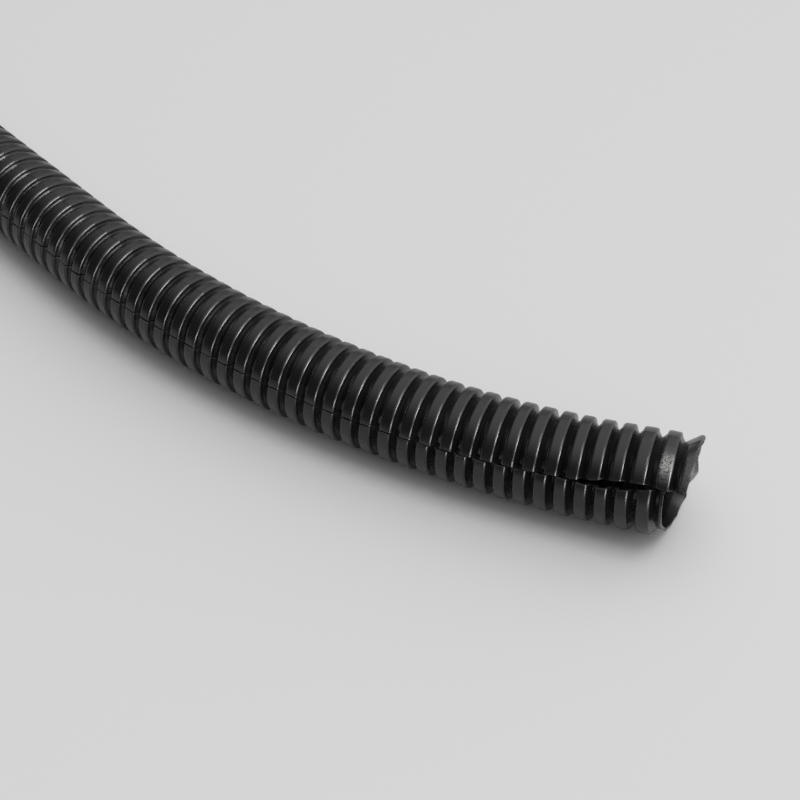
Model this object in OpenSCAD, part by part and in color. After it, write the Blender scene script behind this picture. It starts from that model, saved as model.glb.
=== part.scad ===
// Split corrugated conduit: a length of flexible black wiring conduit, slit along one side.
// It lies on a level floor, straight for the first half of its run, and bends towards its hand-cut end.
// Millimetres. The origin is the centre of the square-cut far mouth. +X runs along the straight
// stretch towards the bend, +Z is up, and the floor is half the outside diameter below the origin.

/* [Stock] */
// Length of the cut piece along its axis, to the nearest rib
stock_length = 305; // [200:5:600]

/* [Section] */
// Outside diameter over the ribs
outer_d = 16; // [15:0.1:20]
// Bore diameter, inside the grooves between the ribs
bore_d = 12.5; // [10:0.1:13]
// Thickness of the wall
wall = 0.45; // [0.3:0.05:0.6]

/* [Ribs] */
// Distance from one rib to the next
rib_pitch = 3.5; // [3.2:0.05:5]
// Width of a rib
rib_width = 2.2; // [1.8:0.05:2.4]
// Radius of a crown's two rounded edges
crown_round = 0.4; // [0.2:0.05:0.6]

/* [Slit] */
// Gap between the lips of the slit along the straight stretch
slit_gap = 0.4; // [0.2:0.05:0.8]
// Gap between the lips at the hand-cut end, where they spread
slit_gap_end = 1; // [0.6:0.05:1.6]
// Height of the slit round the section, in degrees above level, along the straight stretch
slit_rise = 32; // [0:1:80]
// The same height at the hand-cut end: the conduit twists a little through the bend
slit_rise_end = 46; // [0:1:80]

/* [Bend] */
// Radius of the bend, at the axis
bend_radius = 220; // [100:1:400]
// Rib pitches in the bend
bend_ribs = 30; // [4:1:40]
// Ribs in the short straight stretch between the bend and the hand-cut end
end_ribs = 5; // [3:1:12]

/* [Hand-cut end] */
// How much of a rib pitch the knife took off the last rib
cut_share = 0.15; // [0.05:0.01:0.3]
// Angle at which the knife ran off square on the lower side
runoff_angle = 28; // [5:1:40]
// Direction of the run-off round the section, in degrees below level, on the slit's side
runoff_turn = 42; // [0:1:90]

/* [Hidden] */

// Facets of a full turn in the preview
turn_fn = 64;
// Steps in the arc of a rounded crown edge
round_steps = 2;
// How far a groove's wall runs on past the flank that it joins, inside the rib
flank_lap = wall / 3;
// How far the lips stand back in the grooves of the bend
lip_step = wall / 4;
// Power by which the slit's twist and spread gather towards the hand-cut end
twist_power = 4;

crown_r = outer_d / 2;
bore_r = bore_d / 2;
groove_r = bore_r + wall;
// A flank that joins the wall of a bent groove starts halfway through that wall
foot_r = bore_r + wall / 2;
hollow_r = crown_r - wall;
hollow_width = rib_width - 2 * wall;
bend_step = rib_pitch / bend_radius * 180 / PI;
bend_angle = bend_ribs * bend_step;
end_length = (end_ribs - cut_share) * rib_pitch;
straight_ribs = round((stock_length - end_length) / rib_pitch - bend_ribs + 1 / 2);
straight_length = (straight_ribs - 1 / 2) * rib_pitch;

// One corner of a crown, from its flank to its top, as [radius, distance from the rib's middle]
function crown_corner() = [
    for (step = [0 : round_steps])
        let (a = step * 90 / round_steps)
        [crown_r - crown_round * (1 - sin(a)), rib_width / 2 - crown_round * (1 - cos(a))]
];

// Outside of a rib as [radius, place], with the radius at which each flank starts
function rib_outside(place, first_r, last_r) =
    let (corner = crown_corner(), top = len(corner) - 1)
    concat(
        [[first_r, place - rib_width / 2]],
        [for (p = corner) [p[0], place - p[1]]],
        [for (i = [top : -1 : 0]) [corner[i][0], place + corner[i][1]]],
        [[last_r, place + rib_width / 2]]
    );

// Hollow of a rib, run through the other way round
function rib_inside(place, first_r, last_r) = [
    [last_r, place + hollow_width / 2],
    [hollow_r, place + hollow_width / 2],
    [hollow_r, place - hollow_width / 2],
    [first_r, place - hollow_width / 2]
];

// Share of the slit's twist and spread that a rib of the bend has: most comes near the hand-cut end
function twist_share(rib) = pow(rib / bend_ribs, twist_power);
function slit_gap_at(rib) = slit_gap + (slit_gap_end - slit_gap) * twist_share(rib);
function slit_rise_at(rib) = slit_rise + (slit_rise_end - slit_rise) * twist_share(rib);
// Angle that a gap between the lips takes up at a radius
function slit_angle(gap, radius) = 2 * asin(gap / 2 / radius);

// Turns an outline, drawn as [radius, place], about X and leaves the slit open
module turned_wall(outline, rise, open_angle) {
    rotate([0, 90, 0])
        rotate_extrude(start = 270 - rise + open_angle / 2, angle = 360 - open_angle, $fn = turn_fn)
            polygon(outline);
}

// Straight stretch: a row of ribs from a mouth to the flank that joins the bend
module straight_wall(rib_count, mouth, rise, gap) {
    last = rib_count - 1;
    places = [for (i = [0 : last]) mouth + (i + 1 / 2) * rib_pitch];
    outside = [for (i = [0 : last]) each rib_outside(places[i], groove_r, i < last ? groove_r : foot_r)];
    inside = [for (i = [last : -1 : 0]) each rib_inside(places[i], bore_r, i < last ? bore_r : foot_r)];
    turned_wall(
        concat([[bore_r, mouth], [groove_r, mouth]], outside, inside),
        rise,
        slit_angle(gap, crown_r)
    );
}

// One rib of the bend, open on the inside
module rib_ring(rise, gap) {
    turned_wall(
        concat(rib_outside(0, foot_r, foot_r), rib_inside(0, foot_r, foot_r)),
        rise,
        slit_angle(gap, crown_r)
    );
}

// The wall of one groove of the bend, between two ribs
module groove_ring(rise, gap) {
    half = (rib_pitch - hollow_width) / 2 + flank_lap;
    turned_wall(
        [[bore_r, -half], [groove_r, -half], [groove_r, half], [bore_r, half]],
        rise,
        slit_angle(gap + 2 * lip_step, groove_r)
    );
}

// Puts a shape that lies along X on the bend, a number of ribs past its start
module on_bend(rib) {
    translate([straight_length, bend_radius, 0])
        rotate([0, 0, rib * bend_step])
            translate([0, -bend_radius, 0])
                children();
}

module bend() {
    for (rib = [1 : bend_ribs - 1])
        on_bend(rib)
            rib_ring(slit_rise_at(rib), slit_gap_at(rib));
    for (groove = [1 / 2 : bend_ribs - 1 / 2])
        on_bend(groove)
            groove_ring(slit_rise_at(groove), slit_gap_at(groove));
}

// What the knife took off: everything past the last rib, and more on the lower side
module knife_cut() {
    reach = 2 * outer_d;
    translate([end_length, 0, 0]) {
        translate([0, -reach / 2, -reach / 2])
            cube(reach);
        rotate([90 - runoff_turn, 0, 0])
            rotate([0, runoff_angle, 0])
                translate([0, -reach / 2, -reach / 2])
                    cube(reach);
    }
}

// Short straight stretch with the hand-cut end
module cut_end() {
    difference() {
        mirror([1, 0, 0])
            straight_wall(end_ribs + 1, -(end_ribs + 1 / 2) * rib_pitch, slit_rise_end, slit_gap_end);
        knife_cut();
    }
}

module conduit() {
    color("#1e1e20")
        union() {
            straight_wall(straight_ribs, 0, slit_rise, slit_gap);
            bend();
            on_bend(bend_ribs)
                cut_end();
        }
}

conduit();
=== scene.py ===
"""Looks of the split corrugated conduit: its fine ribbed wall, finish, floor, camera and light."""
import math

import bpy
import numpy as np
from mathutils import Matrix, Vector


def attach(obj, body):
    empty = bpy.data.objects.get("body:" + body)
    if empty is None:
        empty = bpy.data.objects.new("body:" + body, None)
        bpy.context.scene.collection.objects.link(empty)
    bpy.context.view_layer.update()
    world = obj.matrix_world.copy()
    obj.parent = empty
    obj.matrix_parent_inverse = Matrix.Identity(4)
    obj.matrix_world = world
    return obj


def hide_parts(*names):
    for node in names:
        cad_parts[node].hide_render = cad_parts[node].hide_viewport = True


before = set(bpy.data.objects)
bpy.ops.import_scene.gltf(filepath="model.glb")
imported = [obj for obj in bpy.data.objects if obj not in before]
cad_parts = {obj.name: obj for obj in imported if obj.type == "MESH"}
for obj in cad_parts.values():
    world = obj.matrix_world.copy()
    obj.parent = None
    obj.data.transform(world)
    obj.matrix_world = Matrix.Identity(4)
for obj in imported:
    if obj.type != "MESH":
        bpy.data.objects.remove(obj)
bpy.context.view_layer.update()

MM = 0.001

# The stock, with the sizes of the part's source
CROWN_R = 8 * MM
BORE_R = 6.25 * MM
WALL = 0.45 * MM
PITCH = 3.5 * MM
RIB_WIDTH = 2.2 * MM
STRAIGHT_RIBS = 53
BEND_PITCHES = 30
END_RIBS = 5
BEND_RADIUS = 220 * MM

GROOVE_R = BORE_R + WALL
HOLLOW_R = CROWN_R - WALL
HOLLOW_WIDTH = RIB_WIDTH - 2 * WALL
GIRTH = 2 * math.pi * CROWN_R
STRAIGHT_PITCHES = STRAIGHT_RIBS - 1 / 2
STRAIGHT = STRAIGHT_PITCHES * PITCH
BEND = BEND_PITCHES * PITCH
FLOOR_Z = -CROWN_R
# Places along the tube are in rib pitches from the far mouth. The stub is what the knife left of the next
# rib, and starts in the middle of the last groove
STUB_START = STRAIGHT_PITCHES + BEND_PITCHES + END_RIBS - 1 / 2
RIBS = round(STUB_START)
LAST_RIB = RIBS - 1 / 2

# A rib's outline: a flat crown with rounded edges, grooves that narrow to a crease, and a hollow inside
CROWN_ROUND = 0.42 * MM
CROWN_ROUND_STEPS = 4
# Strip beside a rounded edge that holds the crown flat under smooth shading
CROWN_EDGE = 0.15 * MM
# Slope of a groove at its crease, in degrees
CREASE_SLOPE = 45
GROOVE_STEPS = 2
# How far the flanks of a hollow lean to each side of upright
HOLLOW_LEAN = WALL / 6

# The slit climbs towards the hand-cut end, opens a little before it and closes again at the stub. Its rise is
# in degrees above level
SLIT_RISE = 21
SLIT_RISE_END = 41
TWIST_PITCHES = 20
SLIT_GAP = 0.24 * MM
SLIT_GAP_OPEN = 1.6 * MM
GAP_OPENS = (STUB_START - 5, STUB_START - 2.4)
GAP_CLOSES = (STUB_START - 1.4, STUB_START)

# The slit's two lips wander, have a burr and roll in a little. Each reach is a distance round the tube.
# Uneven curves, here and below, are sums of sines, each given as height, cycles and phase
LIP_WANDER = 0.07 * MM
LIP_WANDER_REACH = 0.5 * MM
UPPER_LIP_WAVES = ((0.5, 0.37, 0.3), (0.4, 1.3, 1.1), (0.3, 3.1, 2.2))
LOWER_LIP_WAVES = ((0.5, 0.41, 1.9), (0.4, 1.17, 0.2), (0.3, 2.7, 1.4))
LIP_BURR = 0.05 * MM
LIP_BURR_REACH = 0.12 * MM
LIP_BURR_WAVES = ((0.6, 0.83, 0),)
LIP_ROLL = 0.18 * MM
LIP_ROLL_REACH = 0.9 * MM

# Shifts of the rings along the tube, in pitches. The cut tube has slid along its own slit, so its last rings
# run off from one lip to the other, about a place that stays still
RUNOFF = 0.55
RUNOFF_PITCHES = 15
RUNOFF_STILL = 0.09
# The ribs stand a little closer together towards the cut end, and a little further apart before the bend
PRESS = 0.44
PRESS_PITCHES = 23
STRETCH = 0.18
# The last rib was pulled out a little by the knife, on the upper side
PULL = 0.18
PULL_PITCHES = 1.4
# The ribs are a little uneven, except at the far mouth
SPACING_WAVES = ((0.012, 0.173, 0.4), (0.01, 0.391, 2.0))
EVEN_PITCHES = 2

# The cut end has spread, and its tip stands a little off the floor
SPREAD = 0.07
SPREAD_PITCHES = 12
SPREAD_POWER = 1.5
LIFT = 0.5 * MM
LIFT_PITCHES = 4

# The stub's reach in pitches, by the slit's upper lip and by its lower one. Places round it, here and below,
# are shares of the way from the upper lip round the back to the lower one
STUB_REACH = 0.76
STUB_REACH_LOW = 0.34
STUB_SLANTS = (0.25, 0.85)
STUB_ROWS = 14
# Its upper corner is torn back, and its edge is ragged, with a few longer rags
STUB_CORNER = 0.6
STUB_CORNER_ENDS = 0.07
RAGGED_WAVES = ((0.02, 9, 1), (0.015, 17, 0), (0.02, 31, 2))
RAG_WAVES = ((0.07, 13, 0.6), (0.06, 22, 1.3))
# From the top round to the bottom it is a torn flank, which flares a little past the height of a crown on
# top and stays low further round
FLARE_REACH = 0.66
FLARE_HEIGHT = 1.2
FLARE_HEIGHT_LOW = 0.2
FLARE_STARTS = (0.1, 0.18)
FLARE_EBBS = (0.26, 0.42)
FLARE_ENDS = (0.8, 0.93)

# Faint seams of the mould
SEAMS = (0.195, 0.695)
SEAM_WIDTH = 0.13 * MM
SEAM_HEIGHT = 0.05 * MM
SEAM_MEAN = 0.6
SEAM_WAVES = ((0.4, 0.31, 1),)

# Scuffs and painted highlight: a painted highlight spot on the last crown, scuffs on the upper part of the
# stub that are partly painted speckled highlight, and a scuffed trace along the slit
# The spot on the last crown is a painted highlight, not a scuff
GLINT_STARTS = (LAST_RIB - 0.5, LAST_RIB - 0.2)
GLINT_PLACE = 0.078
GLINT_REACH = 0.03
# The stub's scuffs are partly painted speckled highlight
STUB_WEAR_AND_GLINT = 0.14
STUB_WEAR_AND_GLINT_ENDS = (0.2, 0.4)
SLIT_WEAR = 0.08

# Mesh columns: close to the slit by their distance from it, and evenly spaced in between
LIP_COLUMNS = (0, 0.1 * MM, 0.25 * MM, 0.6 * MM)
COLUMNS = 37
# Edges sharper than this, in degrees, aren't smoothed over
SHARP_ANGLE = 50


def ramp(low, high, x):
    """Straight step from 0 at low to 1 at high."""
    return np.clip((x - low) / (high - low), 0, 1)


def smooth(low, high, x):
    """Eased step from 0 at low to 1 at high."""
    t = ramp(low, high, x)
    return t * t * (3 - 2 * t)


def between(first, second, share):
    """Value at a share of the way from the first one to the second."""
    return first + (second - first) * share


def waves(x, terms):
    """Uneven curve: a sum of sines, each given as height, cycles and phase."""
    return sum(height * np.sin(2 * math.pi * cycles * x + phase) for height, cycles, phase in terms)


def from_slit(turn_share):
    """Distance round the tube to the nearer lip of the slit."""
    return np.minimum(turn_share, 1 - turn_share) * GIRTH


def slit_rise(q):
    """Height of the slit round the section, in radians above level."""
    return np.radians(between(SLIT_RISE, SLIT_RISE_END, ramp(STUB_START - TWIST_PITCHES, STUB_START, q)**2))


def slit_half_angle(q):
    """Half of the angle that the slit's gap takes up."""
    opened = smooth(*GAP_OPENS, q) - smooth(*GAP_CLOSES, q)
    return between(SLIT_GAP, SLIT_GAP_OPEN, opened) / 2 / CROWN_R


def lip_wander(q, turn_share):
    """How far the slit's lips wander round the tube, fading away from each lip."""
    upper = waves(q, UPPER_LIP_WAVES) * np.exp(-turn_share * GIRTH / LIP_WANDER_REACH)
    lower = waves(q, LOWER_LIP_WAVES) * np.exp(-(1 - turn_share) * GIRTH / LIP_WANDER_REACH)
    return LIP_WANDER * (upper + lower)


def ring_shift(q, turn_share):
    """How far a ring stands off along the tube, in pitches, at a share of the way from lip to lip."""
    runoff = RUNOFF * smooth(LAST_RIB - RUNOFF_PITCHES, LAST_RIB, q)
    pull = PULL * smooth(LAST_RIB - PULL_PITCHES, LAST_RIB, q)
    press = PRESS * ramp(LAST_RIB - PRESS_PITCHES, LAST_RIB, q)**2
    stretch = STRETCH * smooth(0, STRAIGHT_PITCHES, q)
    uneven = waves(q, SPACING_WAVES) * smooth(0, EVEN_PITCHES, q)
    return uneven + stretch - press + pull * (1 - turn_share) - runoff * (turn_share - RUNOFF_STILL)


def spread(q):
    """How many times as wide as the plain tube the spread end is."""
    return 1 + SPREAD * ramp(LAST_RIB - SPREAD_PITCHES, LAST_RIB, q)**SPREAD_POWER


def axis_point(s):
    """Place and heading of the tube's axis at s metres from the far mouth: straight, bend, straight."""
    turn = np.clip(s - STRAIGHT, 0, BEND) / BEND_RADIUS
    first = np.minimum(s, STRAIGHT)
    last = np.maximum(s - STRAIGHT - BEND, 0)
    x = first + BEND_RADIUS * np.sin(turn) + last * np.cos(turn)
    y = BEND_RADIUS * (1 - np.cos(turn)) + last * np.sin(turn)
    return x, y, turn


def tube_points(q, radius, turn_share):
    """Points at q pitches along the tube, at a radius, and at a share of the way from lip to lip."""
    half = slit_half_angle(q)
    open_turn = 2 * math.pi - 2 * half
    angle = slit_rise(q) + half + turn_share * open_turn + lip_wander(q, turn_share) / CROWN_R
    x, y, turn = axis_point(PITCH * (q + ring_shift(q, turn_share)))
    wide = radius * spread(q)
    out = wide * np.cos(angle)
    lift = CROWN_R * (spread(q) - 1) + LIFT * smooth(STUB_START - LIFT_PITCHES, STUB_START, q)
    return np.stack([x + out * np.sin(turn), y - out * np.cos(turn), wide * np.sin(angle) + lift], axis=-1)


def arc(centre_x, centre_r, radius, start, end, steps):
    """Points of an arc in a rib's outline, as (distance along the tube, radius), angles in degrees."""
    angles = np.radians(np.linspace(start, end, steps + 1))
    return [(centre_x + radius * math.cos(a), centre_r + radius * math.sin(a)) for a in angles]


def outer_rib():
    """Outline of a rib's outside, from the middle of one groove up to the middle of the next."""
    flank = RIB_WIDTH / 2
    flank_r = CROWN_R - CROWN_ROUND
    half_groove = PITCH / 2 - flank
    rise = half_groove * math.tan(math.radians(CREASE_SLOPE))
    groove = []
    for step in range(GROOVE_STEPS):
        u = step / GROOVE_STEPS
        r = GROOVE_R + 2 * u * (1 - u) * rise + u * u * (flank_r - GROOVE_R)
        groove.append((-flank - half_groove * (1 - u)**2, r))
    crown = arc(-flank + CROWN_ROUND, flank_r, CROWN_ROUND, 180, 90, CROWN_ROUND_STEPS)
    half = groove + crown + [(-flank + CROWN_ROUND + CROWN_EDGE, CROWN_R)]
    return half + [(-x, r) for x, r in half[:0:-1]]


def inner_rib():
    """Outline of a rib's hollow."""
    flank = HOLLOW_WIDTH / 2
    half = [(-flank - HOLLOW_LEAN, BORE_R), (-flank + HOLLOW_LEAN, HOLLOW_R)]
    return half + [(-x, r) for x, r in half[::-1]]


def wall_rows(rib):
    """Rows of one side of the wall: places in pitches, radii, and each row's share of the stub."""
    stub = np.linspace(0, 1, STUB_ROWS + 1)
    q = [(i + 1 / 2) + x / PITCH for i in range(RIBS) for x, r in rib] + [STUB_START] * len(stub)
    radius = [r for i in range(RIBS) for x, r in rib] + [rib[0][1]] * len(stub)
    return np.array(q), np.array(radius), np.concatenate([np.zeros(RIBS * len(rib)), stub])


def stub_radius(rib, reach, turn_share):
    """Radius of the stub at a reach in pitches past its groove: a rib's outline, or a flare where torn."""
    outline = np.interp(reach, [1 / 2 + x / PITCH for x, r in rib], [r for x, r in rib])
    low, high = rib[0][1], max(r for x, r in rib)
    height = between(FLARE_HEIGHT, FLARE_HEIGHT_LOW, smooth(*FLARE_EBBS, turn_share))
    flare = low + (high - low) * height * ramp(0, FLARE_REACH, reach)
    torn = smooth(*FLARE_STARTS, turn_share) - smooth(*FLARE_ENDS, turn_share)
    return between(outline, flare, torn)


def stub_edge(turn_share):
    """How far the stub reaches past its groove, in pitches, round the tube: slanted and ragged."""
    slant = between(STUB_REACH, STUB_REACH_LOW, smooth(*STUB_SLANTS, turn_share))
    rags = waves(turn_share, RAGGED_WAVES) + np.maximum(waves(turn_share, RAG_WAVES), 0)
    corner = between(STUB_CORNER, 1, smooth(0, STUB_CORNER_ENDS, turn_share))
    return corner * slant + rags * slant / STUB_REACH


def turn_shares():
    """Places of the columns round the wall, as shares of the way from the upper lip to the lower one."""
    lip = np.array(LIP_COLUMNS) / GIRTH
    plain = np.linspace(lip[-1], 1 - lip[-1], COLUMNS)
    seams = [seam + side * SEAM_WIDTH / GIRTH for seam in SEAMS for side in (-1, 0, 1)]
    return np.unique(np.concatenate([lip[:-1], plain, seams, 1 - lip[:-1]]))


def raised(q, radius, turn_share):
    """Radius of the outside with the burrs along the slit's lips and the mould's seams."""
    crown = smooth(GROOVE_R, CROWN_R, radius)
    burr = LIP_BURR * np.exp(-from_slit(turn_share) / LIP_BURR_REACH) * (1 + waves(q, LIP_BURR_WAVES))
    seam = sum(np.clip(1 - np.abs(turn_share - place) * GIRTH / SEAM_WIDTH, 0, 1) for place in SEAMS)
    ridge = SEAM_HEIGHT * seam * (SEAM_MEAN + waves(q, SEAM_WAVES))
    return radius + crown * (burr + ridge)


def grid(rib, rows, shares, outside):
    """Vertices of one side of the wall, row by row."""
    q, radius, stub = rows
    reach = stub[:, None] * stub_edge(shares)[None, :]
    q_all = q[:, None] + reach
    turn = np.broadcast_to(shares[None, :], q_all.shape)
    wall = np.where(stub[:, None] > 0, stub_radius(rib, reach, turn), radius[:, None])
    if outside:
        wall = raised(q_all, wall, turn)
    roll = LIP_ROLL * np.exp(-from_slit(turn) / LIP_ROLL_REACH)
    return tube_points(q_all, wall - roll, turn)


def grid_faces(first, rows, columns, flip):
    """Quads of a grid of vertices that starts at index first."""
    faces = []
    for i in range(rows - 1):
        for j in range(columns - 1):
            a = first + i * columns + j
            quad = (a, a + 1, a + columns + 1, a + columns)
            faces.append(quad[::-1] if flip else quad)
    return faces


def lip_strip(outer_ids, inner_ids, outer_q, inner_q, flip):
    """Triangles of the cut face between the outside and the inside of the wall, along one lip of the slit."""
    faces = []
    i = j = 0
    while i < len(outer_ids) - 1 or j < len(inner_ids) - 1:
        step_outer = j == len(inner_ids) - 1
        if i < len(outer_ids) - 1 and not step_outer:
            step_outer = outer_q[i + 1] <= inner_q[j + 1]
        if step_outer:
            tri = (outer_ids[i], outer_ids[i + 1], inner_ids[j])
            i += 1
        else:
            tri = (outer_ids[i], inner_ids[j + 1], inner_ids[j])
            j += 1
        faces.append(tri[::-1] if flip else tri)
    return faces


def rim_strip(outer_ids, inner_ids, flip):
    """Quads of the cut face between the outside and the inside of the wall, round a mouth."""
    faces = []
    for j in range(len(outer_ids) - 1):
        quad = (outer_ids[j], outer_ids[j + 1], inner_ids[j + 1], inner_ids[j])
        faces.append(quad[::-1] if flip else quad)
    return faces


def wall_faces(outer, inner, columns):
    """Faces of the whole wall: its outside, its inside, the slit's two lips and the two mouths."""
    outer_rows, inner_rows = len(outer[0]), len(inner[0])
    inner_first = outer_rows * columns
    inner_end = inner_first + inner_rows * columns
    faces = grid_faces(0, outer_rows, columns, True)
    faces += grid_faces(inner_first, inner_rows, columns, False)
    # A row's place and its share of the stub, added up, give the order of the rows along a lip
    outer_q, inner_q = outer[0] + outer[2], inner[0] + inner[2]
    for column, flip in ((0, True), (columns - 1, False)):
        outer_ids = range(column, inner_first, columns)
        inner_ids = range(inner_first + column, inner_end, columns)
        faces += lip_strip(outer_ids, inner_ids, outer_q, inner_q, flip)
    faces += rim_strip(range(columns), range(inner_first, inner_first + columns), False)
    faces += rim_strip(range(inner_first - columns, inner_first), range(inner_end - columns, inner_end), True)
    return faces


def wear_and_glint(rows, shares):
    """Scuffing of the outside and painted highlight on it, from 0 to 1: a painted highlight spot on the last
    crown, scuffs on the stub that are partly painted speckled highlight, and scuffs along the slit.
    """
    q, radius, stub = rows
    last_crown = smooth(*GLINT_STARTS, q) * smooth(CROWN_R - CROWN_ROUND, CROWN_R, radius)
    # Painted highlight: a pale spot on the last crown
    painted_glint = last_crown[:, None] * np.exp(-((shares - GLINT_PLACE) / GLINT_REACH)**2)[None, :]
    # Scuffs on the stub, partly painted speckled highlight
    torn = STUB_WEAR_AND_GLINT * stub[:, None] * (1 - smooth(*STUB_WEAR_AND_GLINT_ENDS, shares))[None, :]
    slit = SLIT_WEAR * np.exp(-from_slit(shares) / LIP_BURR_REACH)[None, :]
    return np.clip(np.maximum(painted_glint + torn, slit), 0, 1)


def conduit_mesh():
    """The whole wall as one closed mesh, with its scuffing and painted highlight as an attribute of the
    vertices.
    """
    shares = turn_shares()
    outside, inside = outer_rib(), inner_rib()
    outer, inner = wall_rows(outside), wall_rows(inside)
    outer_points = grid(outside, outer, shares, True).reshape(-1, 3)
    inner_points = grid(inside, inner, shares, False).reshape(-1, 3)
    points = np.concatenate([outer_points, inner_points])
    mesh = bpy.data.meshes.new("conduit_wall")
    mesh.from_pydata(points.tolist(), [], wall_faces(outer, inner, len(shares)))
    mesh.update()
    # Scuffs and painted highlights of the outside; none inside
    scuffed_and_glint = np.concatenate([wear_and_glint(outer, shares).ravel(), np.zeros(len(inner_points))])
    mesh.attributes.new("wear_and_glint", "FLOAT", "POINT").data.foreach_set("value", scuffed_and_glint)
    mesh.shade_smooth()
    mesh.set_sharp_from_angle(angle=math.radians(SHARP_ANGLE))
    return mesh


# Black plastic: colours, and noises as scale and detail, each with the range of its values that is used
BLACK_LOW = (0.0025, 0.0025, 0.0027, 1)
BLACK_HIGH = (0.0042, 0.0042, 0.0045, 1)
CLOUD_NOISE = (160, 3)
CLOUD_RANGE = (0.3, 0.7)
# Pale grey for the scuffs and for the painted highlights on the last crown and the stub
SCUFF_AND_GLINT_GREY = (0.48, 0.48, 0.47, 1)
SCUFF_AND_GLINT_NOISE = (4500, 3)
SCUFF_AND_GLINT_RANGE = (0.36, 0.66)
ROUGHNESS = (0.22, 0.32)
GLOSS_NOISE = (420, 5)
GLOSS_RANGE = (0.25, 0.75)
SCUFF_ROUGHNESS = 0.12
GRAIN_NOISE = (2600, 2)
GRAIN_STRENGTH = 0.12
GRAIN_DEPTH = 0.04 * MM

RANGE_SOCKETS = ("From Min", "From Max", "To Min", "To Max")
FULL_RANGE = (0, 1)


def black_plastic():
    """Satin black polyethylene: a little uneven in tone and gloss, grained, and pale where it is scuffed and
    where a highlight is painted on.
    """
    material = bpy.data.materials.new("black_plastic")
    material.use_nodes = True
    nodes, links = material.node_tree.nodes, material.node_tree.links
    shader = nodes["Principled BSDF"]
    place = nodes.new("ShaderNodeTexCoord")

    def noise(scale, detail):
        node = nodes.new("ShaderNodeTexNoise")
        node.inputs["Scale"].default_value = scale
        node.inputs["Detail"].default_value = detail
        links.new(place.outputs["Object"], node.inputs["Vector"])
        return node.outputs["Fac"]

    def spread_over(value, used_range, new_range):
        node = nodes.new("ShaderNodeMapRange")
        for name, number in zip(RANGE_SOCKETS, used_range + new_range):
            node.inputs[name].default_value = number
        links.new(value, node.inputs["Value"])
        return node.outputs["Result"]

    def arithmetic(operation, first, second):
        node = nodes.new("ShaderNodeMath")
        node.operation = operation
        links.new(first, node.inputs[0])
        links.new(second, node.inputs[1])
        return node.outputs["Value"]

    def colour_mix(share):
        node = nodes.new("ShaderNodeMix")
        node.data_type = "RGBA"
        links.new(share, node.inputs["Factor"])
        return node

    worn_and_glinting = nodes.new("ShaderNodeAttribute")
    worn_and_glinting.attribute_name = "wear_and_glint"
    speckle = spread_over(noise(*SCUFF_AND_GLINT_NOISE), SCUFF_AND_GLINT_RANGE, FULL_RANGE)
    # Speckled mask of the scuffs and the painted highlights
    scuffs_and_glint = arithmetic("MULTIPLY", worn_and_glinting.outputs["Fac"], speckle)
    fresh = colour_mix(spread_over(noise(*CLOUD_NOISE), CLOUD_RANGE, FULL_RANGE))
    fresh.inputs["A"].default_value = BLACK_LOW
    fresh.inputs["B"].default_value = BLACK_HIGH
    shade = colour_mix(scuffs_and_glint)
    links.new(fresh.outputs["Result"], shade.inputs["A"])
    shade.inputs["B"].default_value = SCUFF_AND_GLINT_GREY
    links.new(shade.outputs["Result"], shader.inputs["Base Color"])

    gloss = spread_over(noise(*GLOSS_NOISE), GLOSS_RANGE, ROUGHNESS)
    rubbed = spread_over(scuffs_and_glint, FULL_RANGE, (0, SCUFF_ROUGHNESS))
    links.new(arithmetic("ADD", gloss, rubbed), shader.inputs["Roughness"])

    bump = nodes.new("ShaderNodeBump")
    bump.inputs["Strength"].default_value = GRAIN_STRENGTH
    bump.inputs["Distance"].default_value = GRAIN_DEPTH
    links.new(arithmetic("ADD", noise(*GRAIN_NOISE), scuffs_and_glint), bump.inputs["Height"])
    links.new(bump.outputs["Normal"], shader.inputs["Normal"])
    return material


conduit = bpy.data.objects.new("conduit_wall", conduit_mesh())
bpy.context.scene.collection.objects.link(conduit)
conduit.data.materials.append(black_plastic())
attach(conduit, "root")
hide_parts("conduit")

# Floor: wide, pale and matt
FLOOR_HALF = 20
FLOOR_GREY = 0.59
FLOOR_CORNERS = ((-1, -1), (1, -1), (1, 1), (-1, 1))

floor_points = [(x * FLOOR_HALF, y * FLOOR_HALF, FLOOR_Z) for x, y in FLOOR_CORNERS]
floor_mesh = bpy.data.meshes.new("floor")
floor_mesh.from_pydata(floor_points, [], [range(len(floor_points))])
floor = bpy.data.objects.new("floor", floor_mesh)
bpy.context.scene.collection.objects.link(floor)
floor_material = bpy.data.materials.new("floor")
floor_material.use_nodes = True
floor_shader = floor_material.node_tree.nodes["Principled BSDF"]
floor_shader.inputs["Base Color"].default_value = (FLOOR_GREY, FLOOR_GREY, FLOOR_GREY, 1)
floor_shader.inputs["Roughness"].default_value = 1
floor_shader.inputs["Specular IOR Level"].default_value = 0
floor.data.materials.append(floor_material)

# Camera, as fitted to the photo: angles in degrees, focus in pixels of its frame
CAMERA_AZIMUTH = 138.56
CAMERA_DROP = 47.13
CAMERA_ROLL = -2.7
CAMERA_DISTANCE = 308.3 * MM
CAMERA_TARGET = Vector((STRAIGHT + 69.3 * MM, 14.1 * MM, 0))
FRAME_PIXELS = 800
FOCUS_PIXELS = 1848

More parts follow.
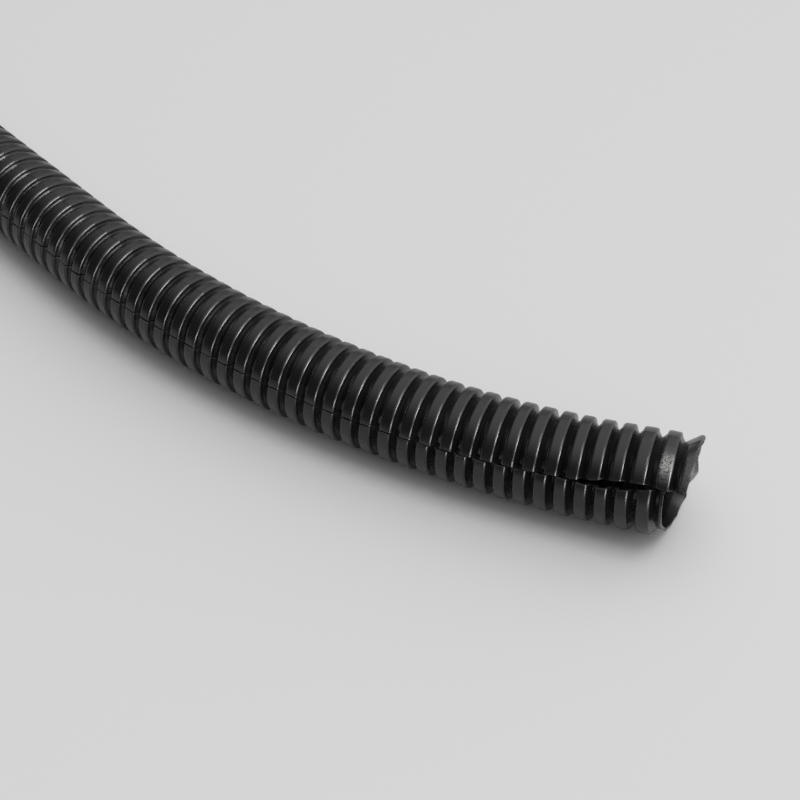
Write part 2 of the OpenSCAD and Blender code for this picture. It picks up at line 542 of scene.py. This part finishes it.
azimuth, drop, roll = (math.radians(v) for v in (CAMERA_AZIMUTH, CAMERA_DROP, CAMERA_ROLL))
forward = Vector((math.cos(azimuth) * math.cos(drop), math.sin(azimuth) * math.cos(drop), -math.sin(drop)))
level = Vector((math.sin(azimuth), -math.cos(azimuth), 0))
upright = level.cross(forward)
right = math.cos(roll) * level + math.sin(roll) * upright
up = -math.sin(roll) * level + math.cos(roll) * upright
camera_data = bpy.data.cameras.new("camera")
camera_data.angle = 2 * math.atan(FRAME_PIXELS / 2 / FOCUS_PIXELS)
camera = bpy.data.objects.new("camera", camera_data)
camera.matrix_world = Matrix((
    (right.x, up.x, -forward.x, 0),
    (right.y, up.y, -forward.y, 0),
    (right.z, up.z, -forward.z, 0),
    (0, 0, 0, 1),
))
camera.location = CAMERA_TARGET - CAMERA_DISTANCE * forward
bpy.context.scene.collection.objects.link(camera)
bpy.context.scene.camera = camera


def softbox(name, place, width, height, power, lights_floor=True):
    """An oblong area lamp at a place, facing the camera's target, in metres and watts.

    One that doesn't light the floor shows only in reflections.
    """
    lamp = bpy.data.lights.new(name, "AREA")
    lamp.shape = "RECTANGLE"
    lamp.size = width
    lamp.size_y = height
    lamp.energy = power
    piece = bpy.data.objects.new(name, lamp)
    piece.location = place
    piece.rotation_mode = "QUATERNION"
    piece.rotation_quaternion = (CAMERA_TARGET - Vector(place)).to_track_quat("-Z", "Y")
    piece.visible_diffuse = lights_floor
    bpy.context.scene.collection.objects.link(piece)


softbox("overhead", place=(0.58, 0.16, 1), width=0.5, height=0.5, power=3.8)
# Two side lamps for the streaks along the edges of the crowns, flagged off the floor
softbox("edge_light", place=(1, 0.16, 0.53), width=0.4, height=0.2, power=10, lights_floor=False)
softbox("low_edge_light", place=(0.955, -0.39, 0.084), width=0.5, height=0.2, power=5, lights_floor=False)

# The room: bright above and behind, dark towards the viewer. The range says how far towards the bright side a
# direction has to point for the glow to start and to be full
BRIGHT_SIDE = (0.3, 0.5, 0.75)
GLOW_RANGE = (0.12, 0.75)
DARK_ROOM = 0.1
BRIGHT_ROOM = 1.3

world = bpy.data.worlds.new("studio")
bpy.context.scene.world = world
world.use_nodes = True
world_nodes, world_links = world.node_tree.nodes, world.node_tree.links
direction = world_nodes.new("ShaderNodeTexCoord")
towards = world_nodes.new("ShaderNodeVectorMath")
towards.operation = "DOT_PRODUCT"
towards.inputs[1].default_value = BRIGHT_SIDE
world_links.new(direction.outputs["Generated"], towards.inputs[0])
glow = world_nodes.new("ShaderNodeMapRange")
glow.interpolation_type = "SMOOTHSTEP"
for socket, number in zip(RANGE_SOCKETS, GLOW_RANGE + (DARK_ROOM, BRIGHT_ROOM)):
    glow.inputs[socket].default_value = number
world_links.new(towards.outputs["Value"], glow.inputs["Value"])
world_links.new(glow.outputs["Result"], world_nodes["Background"].inputs["Strength"])
world_nodes["Background"].inputs["Color"].default_value = (1, 1, 1, 1)

bpy.context.scene.view_settings.view_transform = "Standard"
